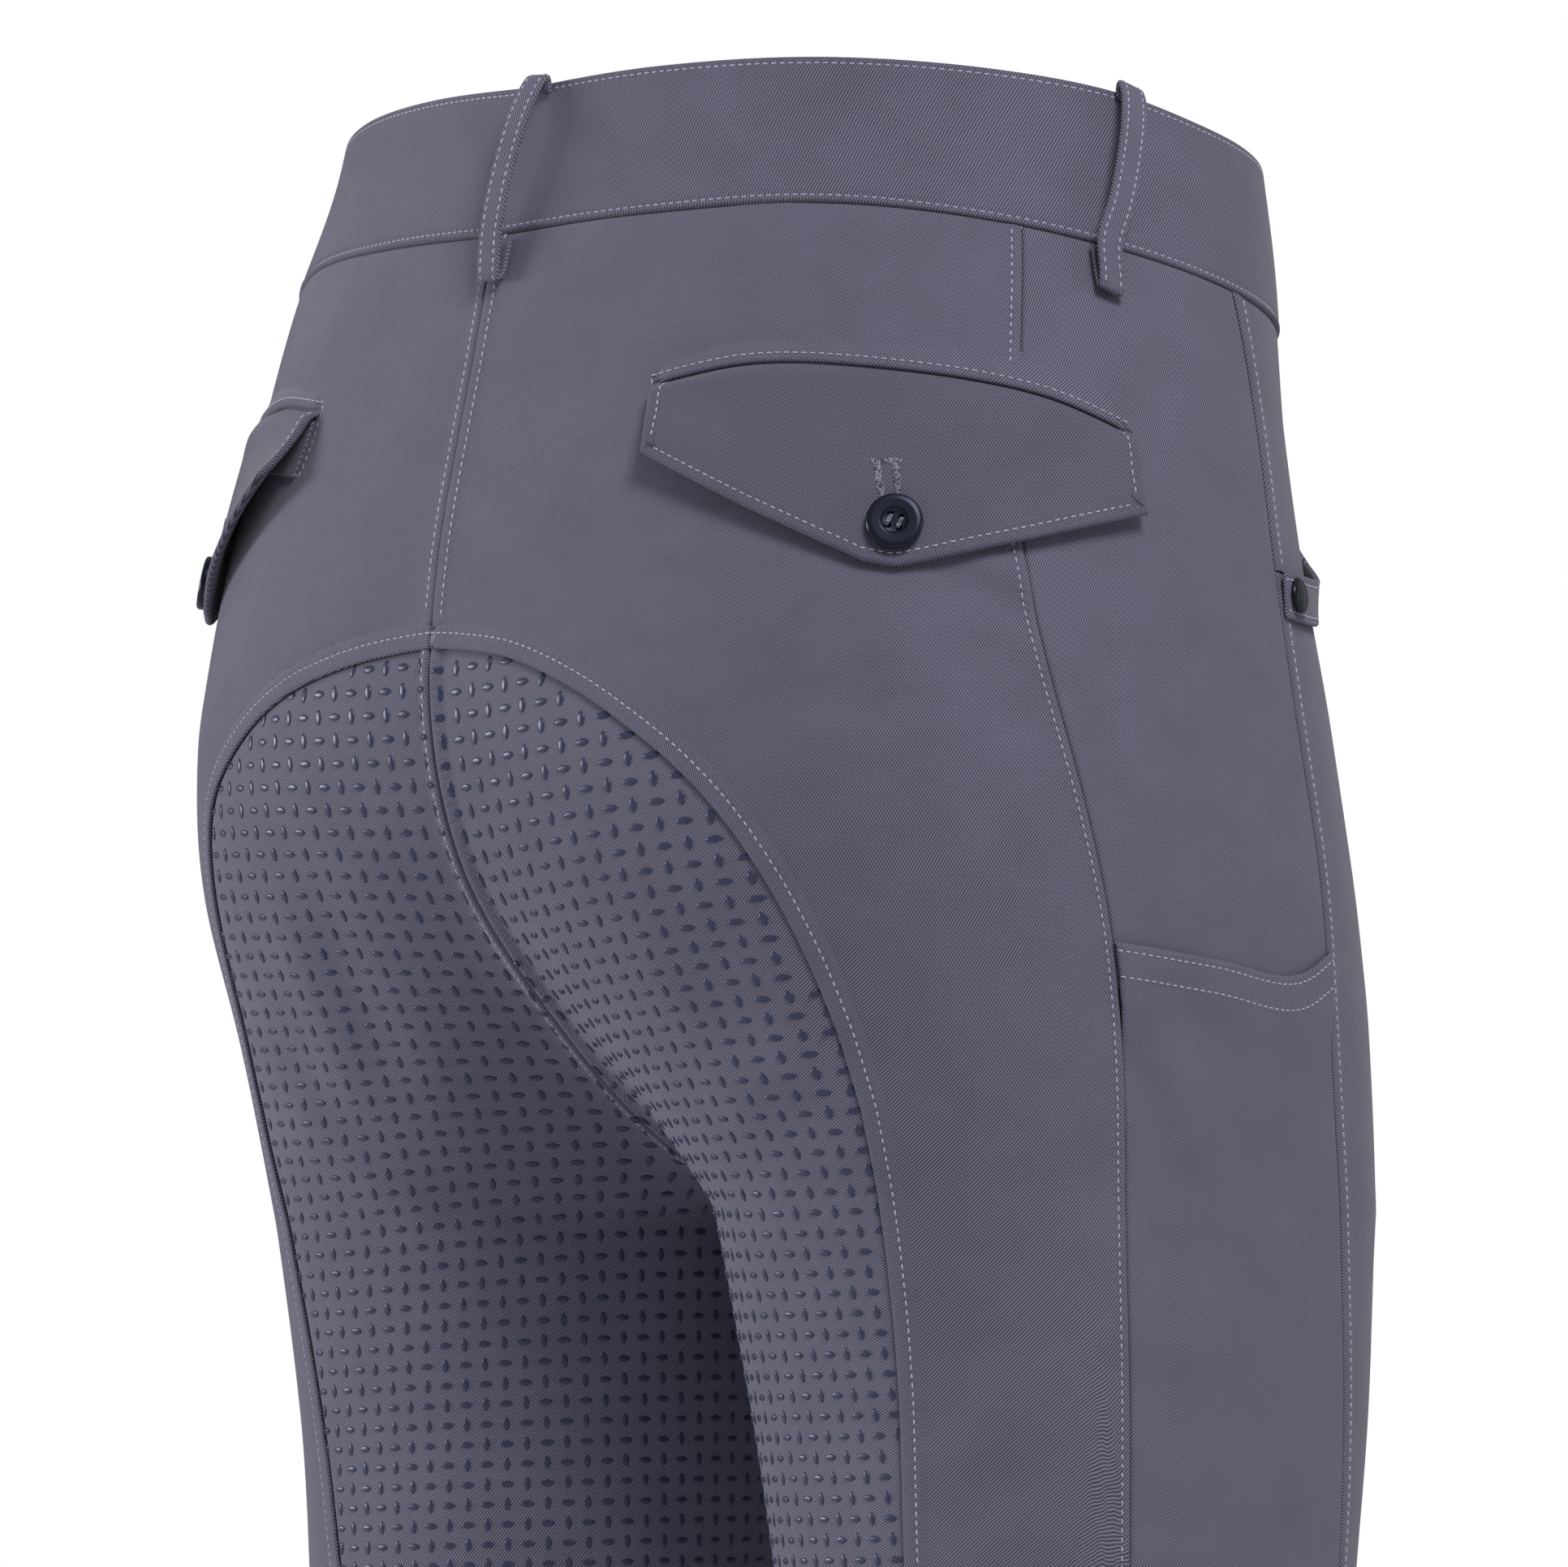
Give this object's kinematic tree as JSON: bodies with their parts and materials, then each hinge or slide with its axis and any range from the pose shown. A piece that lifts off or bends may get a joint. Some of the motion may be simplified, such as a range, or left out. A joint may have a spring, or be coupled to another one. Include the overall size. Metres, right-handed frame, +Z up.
{
  "type": "riding breeches",
  "caption": "Full-seat riding breeches in slate stretch twill, worn form: open waist and hems, printed grip seat, flapped back pockets, phone pocket, belt loops.",
  "frame": {"origin": "middle of the waist, level with the band's top edge at the sides, where the wearer holds the breeches up", "axes": "+Z up, -Y towards the wearer's front, -X towards the wearer's right"},
  "size_m": [0.3386, 0.2494, 0.9482],
  "materials": {
    "twill": "matt stretch twill",
    "grip_twill": "matt stretch twill under a printed grip",
    "grip_print": "glossy domed silicone print",
    "thread": "polyester sewing thread",
    "dark_resin": "polished polyester resin"
  },
  "bodies": {
    "root": {"waistband": "twill", "loop_back": "twill", "loop_side_right": "twill", "loop_side_left": "twill", "loop_front_right": "twill", "loop_front_left": "twill", "back_right": "twill", "back_left": "twill", "seat_patch_right": "grip_twill", "seat_patch_left": "grip_twill", "side_upper_right": "twill", "side_upper_left": "twill", "side_lower_right": "twill", "side_lower_left": "twill", "front_right": "twill", "front_left": "twill", "hip_underlay_right": "twill", "hip_underlay_left": "twill", "pocket_band_right": "twill", "pocket_band_left": "twill", "fly": "twill", "welt_right": "twill", "welt_left": "twill", "flap_right": "twill", "flap_left": "twill", "flap_button_right": "dark_resin", "flap_button_left": "dark_resin", "waist_button": "dark_resin", "pocket_snap_right": "dark_resin", "pocket_snap_left": "dark_resin"}
  },
  "joints": []
}
